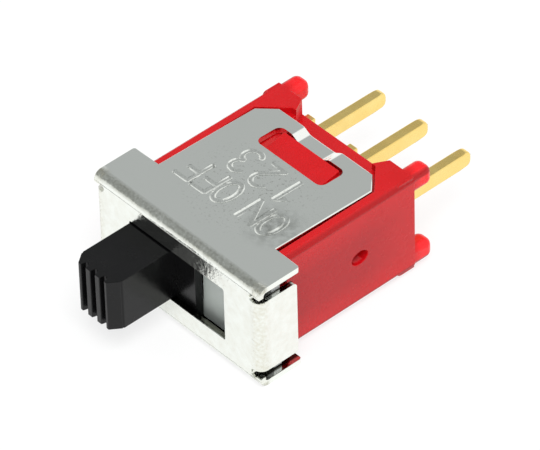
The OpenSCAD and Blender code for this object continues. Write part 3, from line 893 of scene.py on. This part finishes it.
def stroke_bar(points, line_mm):
    """One round bar along the points, at z = 0, closed or with ends that run thin."""
    closed = math.dist(points[0], points[-1]) < SAME_POINT
    if closed:
        points, thickness = points[:-1], [1.0] * (len(points) - 1)
    else:
        points, thickness = run_thin(points, line_mm)
    data = bpy.data.curves.new("stamp_stroke", "CURVE")
    data.dimensions = "3D"
    data.bevel_depth = line_mm / 2
    data.bevel_resolution = 6
    data.use_fill_caps = True
    line = data.splines.new("POLY")
    line.points.add(len(points) - 1)
    for point, (px, py), thick in zip(line.points, points, thickness):
        point.co = (px, py, 0, 1)
        point.radius = thick
    line.use_cyclic_u = closed
    bar = bpy.data.objects.new("stamp_stroke", data)
    bpy.context.scene.collection.objects.link(bar)
    only(bar)
    bpy.ops.object.convert(target="MESH")
    bpy.ops.object.mode_set(mode="EDIT")
    bpy.ops.mesh.select_all(action="SELECT")
    bpy.ops.mesh.remove_doubles(threshold=BAR_MERGE)
    bpy.ops.mesh.normals_make_consistent(inside=False)
    bpy.ops.object.mode_set(mode="OBJECT")
    return bpy.context.object


print("stroke bars ready")

# %% [markdown]
# ## Bracket
# The bracket is one folded sheet. Cutting leaves the outer edges of the sheet
# slightly rolled, so those are rounded first. They are found by their faces, and
# those round the snap slot of each wing are left sharp. Then the marks are stamped.

# %% Choose and round the bracket's edges
FRONT_TO_Y, WING_FROM_Z, EAR_FROM_X = 0.35, 2.1, 4.9
# how far outwards their faces look: the normal, and for the wings and the ears
# the normal times the distance from the middle
FRONT_LOOKS, WING_LOOKS, EAR_LOOKS = 0.5, 1.2, 2.5
SLOT_HALF, SLOT_FROM_Y, SLOT_TO_Y = 2.9, 5.7, 7.6


def outer_skin(face):
    """The outer side of the folded sheet: its front, its two wings and its two ears."""
    place, normal = face.calc_center_median(), face.normal
    front = place.y < FRONT_TO_Y and normal.y < -FRONT_LOOKS
    wing = abs(place.z) > WING_FROM_Z and normal.z * place.z > WING_LOOKS
    ear = abs(place.x) > EAR_FROM_X and normal.x * place.x > EAR_LOOKS
    return front or wing or ear


def sheet_edge(edge):
    """The outer edges of the sheet, without those round the wings' slots."""
    middle = (edge.verts[0].co + edge.verts[1].co) / 2
    by_slot = abs(middle.x) < SLOT_HALF and SLOT_FROM_Y < middle.y < SLOT_TO_Y
    return not by_slot and any(outer_skin(face) for face in edge.link_faces)


ORIGIN = (0, 0, 0)
ACROSS, UP = (1, 0, 0), (0, 0, 1)
bracket = bench_copy("bracket", "folded_bracket", [(ORIGIN, ACROSS)])
round_edges(bracket, width_mm=0.04, share=sheet_edge)
print("bracket rounded:", len(bracket.data.polygons), "faces")

# %% Stamp the marks into the bracket
LINE_MM = 0.34
LINE_FLATTER = 0.8
LINE_ABOVE = 0.078
# laid on the leaning wing, with the bars' middles a little above the metal
lay = (
    Matrix.Translation((0, EAR_END, WING_TOP + LINE_ABOVE))
    @ Matrix.Rotation(-WING_TOE, 4, "X")
    @ Matrix.Translation((0, -EAR_END, 0))
    @ Matrix.Diagonal((1, 1, LINE_FLATTER, 1))
)
for points in strokes:
    bar = stroke_bar(points, LINE_MM)
    bar.data.transform(lay)
    boolean(bracket, "DIFFERENCE", bar)
print("strokes stamped:", len(strokes))
finish_piece(bracket, tin, "switch_body", "tinned_steel", "bracket")

# %% [markdown]
# ## Housing
# The housing's nubs have full, domed ends, and a bevel of the solid's smaller nubs
# can't give those. So the solid's nubs are sawn off, and a fuller one is modelled
# in each corner and joined on. The round recess in each side, the mark of a core
# pin, is drawn a little longer than it is high, and deeper than the solid's.

# %% Saw off the solid's nubs
BODY_END = 9.28
SAW_MM = 20
housing = bench_copy("housing", "moulded_housing", [(ORIGIN, ACROSS), (ORIGIN, UP)])
body_half, nub_tip, body_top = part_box("housing")[1] * BENCH
deselect_all()
bpy.ops.mesh.primitive_cube_add(size=SAW_MM, location=(0, BODY_END + SAW_MM / 2, 0))
boolean(housing, "DIFFERENCE", bpy.context.object)
print("nubs sawn off at", BODY_END, "mm, body half width:", round(body_half, 2), "mm")

# %% Shape the round recess and round the edges
RECESS_Y, RECESS_REACH = 6.23, 0.45
RECESS_LONGER, RECESS_LOWER, RECESS_DEEPER = 1.15, 0.85, 0.2
SIDE_FROM_X = 3.8
ON_SIDE = 0.01
for vertex in housing.data.vertices:
    from_middle = vertex.co - Vector((vertex.co.x, RECESS_Y, 0))
    if abs(vertex.co.x) > SIDE_FROM_X and from_middle.length < RECESS_REACH:
        vertex.co.y = RECESS_Y + from_middle.y * RECESS_LONGER
        vertex.co.z = from_middle.z * RECESS_LOWER
        # only its floor moves inwards, and its rim stays on the side
        if abs(vertex.co.x) < body_half - ON_SIDE:
            vertex.co.x -= math.copysign(RECESS_DEEPER, vertex.co.x)
round_edges(housing, width_mm=0.04)
print("housing rounded:", len(housing.data.polygons), "faces")

# %% Model a domed nub in each corner
NUB_SIZE = Vector((0.88, 1.5, 0.96))
NUB_RADIUS, NUB_SEGMENTS = 0.34, 6
NUB_IN_FROM_SIDE, NUB_IN_FROM_TOP = 0.02, 0.004
for side in (-1, 1):
    for face in (-1, 1):
        deselect_all()
        bpy.ops.mesh.primitive_cube_add(size=1, location=(0, 0, 0))
        nub = bpy.context.object
        nub.data.transform(Matrix.Diagonal(NUB_SIZE).to_4x4())
        round_edges(nub, NUB_RADIUS, NUB_SEGMENTS)
        nub.data.transform(Matrix.Translation((
            side * (body_half - NUB_IN_FROM_SIDE - NUB_SIZE.x / 2),
            nub_tip - NUB_SIZE.y / 2,
            face * (body_top - NUB_IN_FROM_TOP - NUB_SIZE.z / 2),
        )))
        boolean(housing, "UNION", nub)
finish_piece(housing, red_nylon, "switch_body", "red_nylon", "housing")

# %% [markdown]
# ## Slider, guide frame and shield
# These three have their shape already, and only get the small radius that a mould
# leaves. The shield is thin, so its radius is smaller and made of a single cut.

# %% Round the other moulded pieces
slider = bench_copy("slider", "ridged_slider")
round_edges(slider, width_mm=0.03)
finish_piece(slider, black_nylon, "slider_body", "black_nylon", "slider")

guide = bench_copy("guide_frame", "guide_rim")
round_edges(guide, width_mm=0.03)
finish_piece(guide, grey_nylon, "switch_body", "grey_nylon", "guide_frame")

shield = bench_copy("dust_shield", "sliding_shield")
round_edges(shield, width_mm=0.02, segments=1)
finish_piece(shield, grey_film, "shield_body", "grey_film", "dust_shield")

# %% [markdown]
# ## Terminals and contact
# The terminals are cut from sheet, so their long edges are crisp, with a slight
# roll from the cutting. The pins' tips are pressed to a softer point.

# %% Round the terminals and the contact
TIP_FROM_Y = 13.3


def pin_tip(edge):
    """All of the width at the tip of a pin, and half of it along the edges."""
    return 1.0 if min(v.co.y for v in edge.verts) > TIP_FROM_Y else 0.5


for node, name in (
    ("common_terminal", "middle_pin"),
    ("left_terminal", "left_pin"),
    ("right_terminal", "right_pin"),
):
    terminal = bench_copy(node, name)
    round_edges(terminal, width_mm=0.1, segments=3, share=pin_tip)
    finish_piece(terminal, gold_plate, "switch_body", "plated_brass", node)

contact = bench_copy("rocker_contact", "bowed_contact")
round_edges(contact, width_mm=0.02, segments=1)
finish_piece(contact, gold_strip, "rocker_body", "plated_copper", "rocker_contact")

# %% [markdown]
# ## Plunger and spring
# The plunger keeps the shape of its solid. The spring is wound anew: one round of
# wire is swept round and along the bore with the Screw modifier, which is how a
# helix of any number of turns is made from a single circle. Its front end sits on
# the bottom of the bore.

# %% Wind the spring
SPRING_TURNS = 7
STEPS_A_TURN = 28
WIRE_R = 0.06
low, high = (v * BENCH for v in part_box("plunger_spring"))
coil_r = min(high.x - low.x, high.z - low.z) / 2 - WIRE_R
coil_length = (high.y - low.y) - 2 * WIRE_R
coil_steps = SPRING_TURNS * STEPS_A_TURN
deselect_all()
bpy.ops.mesh.primitive_circle_add(vertices=10, radius=WIRE_R, fill_type="NOTHING")
wire = bpy.context.object
wire.name = "wound_spring"
wire.data.transform(Matrix.Translation((coil_r, 0, 0)) @ Matrix.Rotation(math.pi / 2, 4, "X"))
apply_modifier(
    wire, "SCREW", axis="Z", angle=-2 * math.pi * SPRING_TURNS, screw_offset=coil_length,
    steps=coil_steps, render_steps=coil_steps, use_merge_vertices=False,
)
print("coil radius in mm:", round(coil_r, 3))

# %% Close the wire's ends and lay the spring in its bore
only(wire)
bpy.ops.object.mode_set(mode="EDIT")
bpy.ops.mesh.select_all(action="DESELECT")
bpy.ops.mesh.select_non_manifold()
bpy.ops.mesh.edge_face_add()
bpy.ops.mesh.select_all(action="SELECT")
bpy.ops.mesh.normals_make_consistent(inside=False)
bpy.ops.object.mode_set(mode="OBJECT")
bore_start = Vector(((low.x + high.x) / 2, low.y + WIRE_R, 0))
wire.data.transform(Matrix.Translation(bore_start) @ Matrix.Rotation(-math.pi / 2, 4, "X"))
finish_piece(wire, spring_wire, "slider_body", "spring_steel", "plunger_spring")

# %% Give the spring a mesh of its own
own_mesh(wire)

# %% Give the plunger its finish
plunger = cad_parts["plunger"]
plunger.data.materials.clear()
plunger.data.materials.append(natural_acetal)
print("plunger keeps its solid, in", natural_acetal.name)
